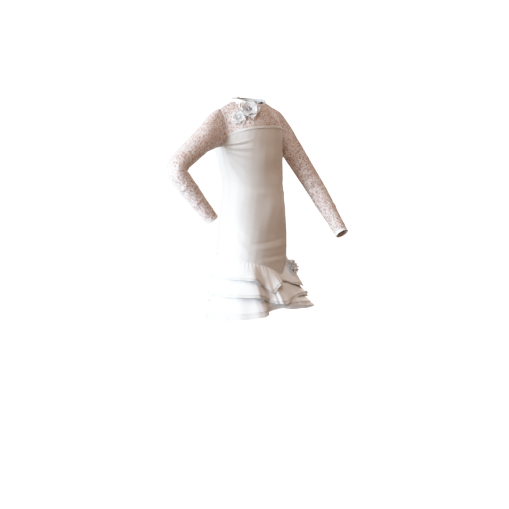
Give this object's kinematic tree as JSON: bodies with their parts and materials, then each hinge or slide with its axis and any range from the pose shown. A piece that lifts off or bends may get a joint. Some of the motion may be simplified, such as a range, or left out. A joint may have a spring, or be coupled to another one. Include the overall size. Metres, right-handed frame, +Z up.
{
  "type": "ballroom dance dress",
  "caption": "Child's white ballroom dance dress in its worn form: lace yoke and long sleeves, smooth stretch sheath, tiered flounces at the hips and flower trims.",
  "frame": {"origin": "middle of the neck opening, at the height of the neck's sides, where the dress hangs on the wearer's shoulders", "axes": "+Z up, -Y the dress's front, +X the wearer's left"},
  "size_m": [0.5154, 0.3425, 0.6145],
  "materials": {
    "satin": "white stretch satin, soft sheen",
    "lace": "white stretch lace, matt, fine floral net",
    "hem_braid": "stiff translucent hem braid, grey white",
    "organza": "crisp white organza",
    "button": "satin white button",
    "grey_stone": "faceted grey stone, shiny"
  },
  "bodies": {
    "root": {"body_front": "satin", "body_back": "satin", "yoke_front": "lace", "yoke_back_left": "lace", "yoke_back_right": "lace", "chest_band_front": "satin", "chest_band_back": "satin", "neck_binding": "satin", "neck_button": "button", "sleeve_right": "lace", "sleeve_left": "lace", "cuff_right": "satin", "cuff_left": "satin", "flounce_upper": "satin", "flounce_middle": "satin", "flounce_lower": "satin", "hem_braid_upper": "hem_braid", "hem_braid_middle": "hem_braid", "hem_braid_lower": "hem_braid", "neck_flower_large": "organza", "neck_flower_large_stone": "grey_stone", "neck_flower_small": "organza", "neck_flower_small_stone": "grey_stone", "hip_flower": "organza", "hip_flower_stone": "grey_stone"}
  },
  "joints": []
}
